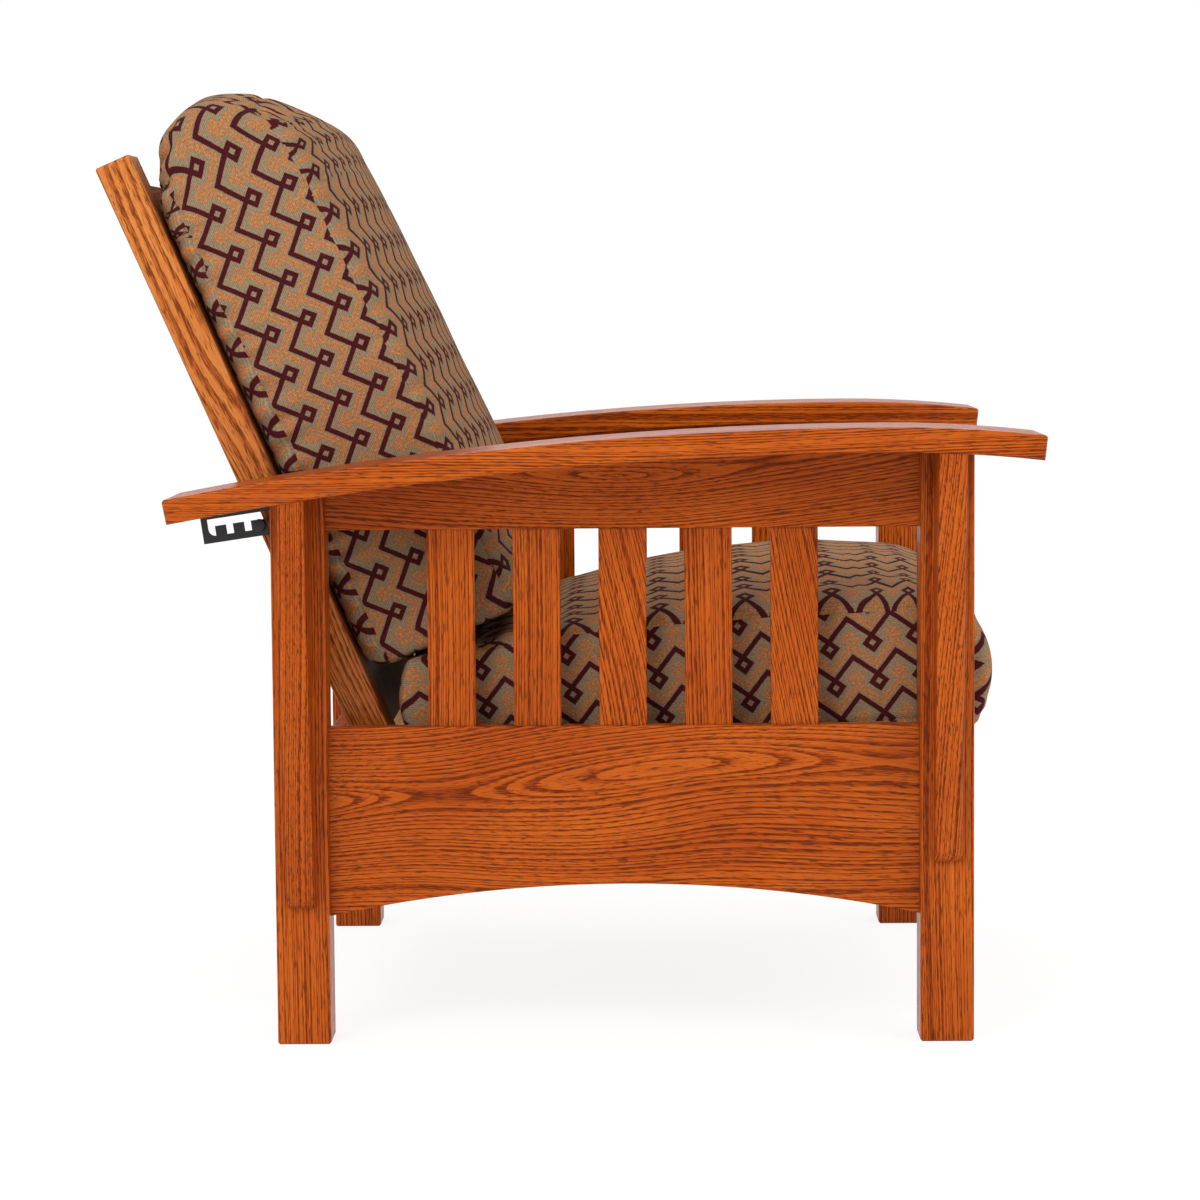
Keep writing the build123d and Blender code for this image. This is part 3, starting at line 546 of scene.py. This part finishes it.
def clothCoordinates(mesh, form):
    # lays the cloth on each panel flat: two faces and the boxing between them
    layer = mesh.uv_layers.new(name="cloth")
    tilt = math.radians(form["rowTilt"])
    rollStart = form["ends"][1] - padding["rollOver"]
    rollHeight = seamAt(form["highSeam"], rollStart)
    for polygon in mesh.polygons:
        center = polygon.center
        along = center.y * form["end"]
        above = center.z > seamAt(form["highSeam"], along)
        below = center.z < seamAt(form["lowSeam"], along)
        farHalf = center.x > 0
        for loopIndex in polygon.loop_indices:
            point = mesh.vertices[mesh.loops[loopIndex].vertex_index].co
            if above or below:
                turned = max(0.0, point.y * form["end"] - rollStart)
                rise = abs(point.z - rollHeight) if turned > 0 else 0.0
                u = point.x + padding["patternShift"]
                v = point.y * form["end"] + (turned - rise) * padding["patternStretch"]
            else:
                x = max(point.x, 1e-5) if farHalf else min(point.x, -1e-5)
                row = ringLength(x, point.y, form)
                across = -point.z * form["rowFlip"]
                u = across * math.cos(tilt) - row * math.sin(tilt)
                v = across * math.sin(tilt) + row * math.cos(tilt)
            layer.data[loopIndex].uv = (u, v)


def swell(piece, pinned):
    # cloth under pressure, held at the seams
    group = piece.vertex_groups.new(name="seams")
    for index in pinned:
        group.add([index], 1.0, "REPLACE")
    cloth = piece.modifiers.new("swell", "CLOTH")
    settings = cloth.settings
    settings.quality = padding["quality"]
    settings.mass = padding["mass"]
    settings.use_pressure = True
    settings.uniform_pressure_force = padding["pressure"]
    settings.effector_weights.gravity = 0
    settings.tension_stiffness = padding["stiffness"]
    settings.compression_stiffness = padding["stiffness"]
    settings.shear_stiffness = padding["shear"]
    settings.bending_stiffness = padding["bending"]
    settings.vertex_group_mass = "seams"
    cloth.collision_settings.use_collision = False
    cloth.point_cache.frame_start = 1
    cloth.point_cache.frame_end = padding["frames"]
    for number in range(1, padding["frames"] + 1):
        bpy.context.scene.frame_set(number)
    applyModifiers(piece)
    bpy.context.scene.frame_set(1)
    piece.vertex_groups.clear()


def settle(mesh, full, form):
    # the face it rests on and the end against the other cushion keep their form
    bed = form["bed"]
    for vert, place in zip(mesh.vertices, full):
        along = place.y * form["end"] - form["ends"][0]
        atBed = (bed["reach"] - place.z) / (bed["reach"] - bed["flat"])
        atEnd = 1 - (along - padding["endKept"]) / padding["endFade"]
        vert.co = vert.co.lerp(place, smoothShare(max(atBed, atEnd)))


def endShare(point, form):
    # nothing along the cushion, rising to one at its free end
    span = padding["endSpan"]
    return smoothShare((point.y * form["end"] - form["ends"][1] + span) / span)


def roundEnd(mesh, form):
    # the free end is stuffed fuller behind the middle, and its edges roll over
    look = form["rounding"]
    for vert in mesh.vertices:
        share = endShare(vert.co, form)
        bulge = look["bulge"] * math.exp(-((vert.co.z - look["bulgeAt"]) / look["bulgeWide"]) ** 2)
        roll = look["roll"] * math.exp(-(vert.co.z / look["rollWide"]) ** 2)
        drop = look["drop"] * math.exp(-((vert.co.z - look["dropAt"]) / look["dropWide"]) ** 2)
        vert.co.y += form["end"] * share * (bulge - roll - drop)


def sewPuckers(mesh, form):
    # the seams pull in, and the cloth gathers in small waves beside them
    normals = [v.normal.copy() for v in mesh.vertices]
    wave = 2 * math.pi * 1000 / form["puckerMm"]
    # each seam, how deep its waves are and its own layer of the noise
    seams = (("lowSeam", form["lowPucker"], 3.7), ("highSeam", form["highPucker"], 8.1))
    for vert, normal in zip(mesh.vertices, normals):
        point = vert.co.copy()
        along = point.y * form["end"]
        ring = ringLength(point.x if point.x else -1e-5, point.y, form)
        move = 0.0
        for seam, pucker, layer in seams:
            gap = point.z - seamAt(form[seam], along)
            rough = noise.noise(Vector((ring * padding["roughAlong"], gap * padding["roughAcross"], layer)))
            gather = 1 + form["endGather"] * endShare(point, form)
            fade = math.exp(-(gap / padding["waveReach"]) ** 2) * gather
            if point.z < padding["bedHeight"]:
                fade *= padding["bedShare"]
            waves = math.sin(ring * wave + padding["roughTurn"] * rough) + padding["roughShare"] * rough
            move += pucker * fade * waves
            move -= padding["groove"] * math.exp(-(gap / padding["grooveReach"]) ** 2)
        move += padding["wrinkle"] * noise.noise(point * padding["wrinkleRate"])
        vert.co = point + normal * move


def keepInside(point, form):
    # stays in the space between the arms and off the wood below
    point.x = max(-form["widest"], min(form["widest"], point.x))
    floor = form["floor"]
    if "stileSpan" in form:
        low, high = form["stileSpan"]
        floor = floor if low < abs(point.x) < high else form["floorBeside"]
    point.z = max(floor, point.z)
    if "innerEnd" in form:
        point.y = max(form["innerEnd"], point.y)


def makeCushion(form):
    source = nodes[form["node"]]
    mesh = source.data.copy()
    piece = bpy.data.objects.new(form["name"], mesh)
    bpy.context.scene.collection.objects.link(piece)
    mesh.transform(form["space"].inverted())
    bm = bmesh.new()
    bm.from_mesh(mesh)
    bmesh.ops.remove_doubles(bm, verts=bm.verts, dist=padding["weldWithin"])
    bm.normal_update()
    bm.to_mesh(mesh)
    bm.free()
    makeActive(piece)
    mesh.remesh_voxel_size = padding["voxel"]
    mesh.remesh_voxel_adaptivity = 0
    bpy.ops.object.voxel_remesh()
    mesh = piece.data
    cutSeam(mesh, form["lowSeam"], form["end"])
    cutSeam(mesh, form["highSeam"], form["end"])
    full = [v.co.copy() for v in mesh.vertices]
    inward = [v.normal * padding["start"] for v in mesh.vertices]
    for vert, move in zip(mesh.vertices, inward):
        vert.co = vert.co - move
    clothCoordinates(mesh, form)
    rest = [v.co.copy() for v in mesh.vertices]
    pinned = []
    for index, point in enumerate(rest):
        along = point.y * form["end"]
        gaps = [abs(point.z - seamAt(form[seam], along)) for seam in ("lowSeam", "highSeam")]
        if min(gaps) < padding["seamHeld"]:
            pinned.append(index)
    swell(piece, pinned)
    mesh = piece.data
    # the sewn boxing and the foam hold most of the swelling back
    for vert, start in zip(mesh.vertices, rest):
        move = vert.co - start
        if move.length > padding["cap"]:
            move = move * (padding["cap"] / move.length)
        vert.co = start + move * padding["give"]
    settle(mesh, full, form)
    subdivide = piece.modifiers.new("smooth", "SUBSURF")
    subdivide.levels = 1
    subdivide.render_levels = 1
    applyModifiers(piece)
    mesh = piece.data
    if "rounding" in form:
        roundEnd(mesh, form)
    sewPuckers(mesh, form)
    for vert in mesh.vertices:
        keepInside(vert.co, form)
    mesh.transform(form["space"])
    mesh.update()
    for polygon in mesh.polygons:
        polygon.use_smooth = True
    mesh.materials.clear()
    mesh.materials.append(upholstery)
    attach(piece, form["body"])
    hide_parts(form["node"])
    print(form["name"], "has", len(mesh.polygons), "faces")


makeCushion(seatCushion)
makeCushion(backCushion)
print("cushions ready")


# the rod's ends: a short neck through the notch and a round cap outside each plate

rodCap = {"radius": 0.0065, "length": 0.0052, "outside": 0.0005, "bevel": 0.0009, "smoothAngle": 35,
          "neck": 0.0024, "neckLength": 0.0042}


def makeRodCap(name, side):
    look = rodCap
    forward, height = chair["rodPlace"]
    y = chair["frontShift"] - forward
    start = chair["armInside"] + look["outside"]
    deselectAll()
    bpy.ops.mesh.primitive_cylinder_add(
        vertices=32, radius=look["radius"], depth=look["length"],
        location=(side * (start + look["length"] / 2), y, height), rotation=(0, math.radians(90), 0))
    cap = bpy.context.object
    cap.name = name
    bpy.ops.object.transform_apply(location=True, rotation=True, scale=True)
    bpy.ops.object.mode_set(mode="EDIT")
    bpy.ops.mesh.select_mode(type="FACE")
    bpy.ops.mesh.select_all(action="DESELECT")
    bpy.ops.object.mode_set(mode="OBJECT")
    for polygon in cap.data.polygons:
        polygon.select = polygon.normal.x * side < -0.9   # the end that faces the chair
    bpy.ops.object.mode_set(mode="EDIT")
    bpy.ops.mesh.inset(thickness=look["radius"] - look["neck"])
    bpy.ops.mesh.extrude_region_move(TRANSFORM_OT_translate={"value": (-side * look["neckLength"], 0, 0)})
    bpy.ops.object.mode_set(mode="OBJECT")
    bevel = cap.modifiers.new("edge", "BEVEL")
    bevel.width = look["bevel"]
    bevel.segments = 3
    bevel.limit_method = "ANGLE"
    applyModifiers(cap)
    bpy.ops.object.shade_smooth_by_angle(angle=math.radians(look["smoothAngle"]))
    cap.data.materials.append(steel)
    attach(cap, "rod")


makeRodCap("rodCapLeft", 1)
makeRodCap("rodCapRight", -1)
print("rod caps ready")


# studio: pale floor, soft lamps, camera at the photograph's place

studio = {
    "cameraPlace": (-3.9901, -0.0897, 0.7814),
    "cameraTurn": (84.9053, 0.4605, -89.1830),
    "lens": 107.15, "sensor": 36,
    "wallStrength": 0.35, "ceilingStrength": 1.1, "ceilingFrom": 0.7,
    "floorSize": 24, "floorPaint": "#f4f4f4", "floorRoughness": 0.9,
    # the floor is mostly its own white to the camera and takes the rest from the light, with the shadow
    "floorGlow": 1.07, "glowShare": 0.8,
    "aim": (0, 0, 0.4),
}
lamps = {
    "keyLamp": {"place": (-3.2, 1.6, 2.6), "size": (1.6, 1.6), "power": 60},
    "frontLamp": {"place": (-2.4, -3.4, 1.8), "size": (2.0, 1.4), "power": 35},
}
white = grey(1)


def showsBackground(tree):
    # one for what the camera, a gloss or a clear piece sees of the backdrop
    rays = addNode(tree, "ShaderNodeLightPath").outputs
    seen = mathNode(tree, "MAXIMUM", rays["Is Camera Ray"], rays["Is Glossy Ray"])
    return mathNode(tree, "MAXIMUM", seen, rays["Is Transmission Ray"])


def paleFloor():
    deselectAll()
    bpy.ops.mesh.primitive_plane_add(size=studio["floorSize"], location=(0, 0, 0))
    floor = bpy.context.object
    floor.name = "studioFloor"
    material, tree, shader = newMaterial("studioFloorPaint")
    setShader(tree, shader, {
        "Base Color": linearColor(studio["floorPaint"]), "Roughness": studio["floorRoughness"]})
    glow = addNode(tree, "ShaderNodeEmission", inputs={"Color": white, "Strength": studio["floorGlow"]})
    seen = mathNode(tree, "MULTIPLY", showsBackground(tree), studio["glowShare"])
    mix = addNode(tree, "ShaderNodeMixShader", inputs={
        0: seen, 1: shader.outputs["BSDF"], 2: glow.outputs["Emission"]})
    tree.links.new(mix.outputs["Shader"], tree.nodes["Material Output"].inputs["Surface"])
    floor.data.materials.append(material)


def studioWorld():
    world = bpy.data.worlds.new("studioWorld")
    bpy.context.scene.world = world
    world.use_nodes = True
    tree = world.node_tree
    tree.nodes.clear()
    direction = addNode(tree, "ShaderNodeTexCoord").outputs["Generated"]
    height = addNode(tree, "ShaderNodeSeparateXYZ", inputs={"Vector": direction}).outputs["Z"]
    # a bright ceiling over dimmer walls
    level = smoothStep(tree, height, 0.0, studio["ceilingFrom"],
                       studio["wallStrength"], studio["ceilingStrength"])
    soft = addNode(tree, "ShaderNodeBackground", inputs={"Color": white, "Strength": level})
    plain = addNode(tree, "ShaderNodeBackground", inputs={"Color": white, "Strength": 1.0})
    mix = addNode(tree, "ShaderNodeMixShader", inputs={
        0: showsBackground(tree), 1: soft.outputs["Background"], 2: plain.outputs["Background"]})
    addNode(tree, "ShaderNodeOutputWorld", inputs={"Surface": mix.outputs["Shader"]})


def addLamp(name, look):
    lampData = bpy.data.lights.new(name, "AREA")
    lampData.energy = look["power"]
    lampData.shape = "RECTANGLE"
    lampData.size, lampData.size_y = look["size"]
    lamp = bpy.data.objects.new(name, lampData)
    bpy.context.scene.collection.objects.link(lamp)
    lamp.location = look["place"]
    direction = Vector(studio["aim"]) - Vector(look["place"])
    lamp.rotation_euler = direction.to_track_quat("-Z", "Y").to_euler()


def addCamera(name):
    cameraData = bpy.data.cameras.new(name)
    cameraData.sensor_width = studio["sensor"]
    cameraData.lens = studio["lens"]
    camera = bpy.data.objects.new(name, cameraData)
    bpy.context.scene.collection.objects.link(camera)
    camera.location = studio["cameraPlace"]
    camera.rotation_euler = [math.radians(a) for a in studio["cameraTurn"]]
    bpy.context.scene.camera = camera


paleFloor()
studioWorld()
for lampName, lampLook in lamps.items():
    addLamp(lampName, lampLook)
addCamera("photoCamera")
bpy.context.scene.view_settings.view_transform = "Standard"
print("studio ready")
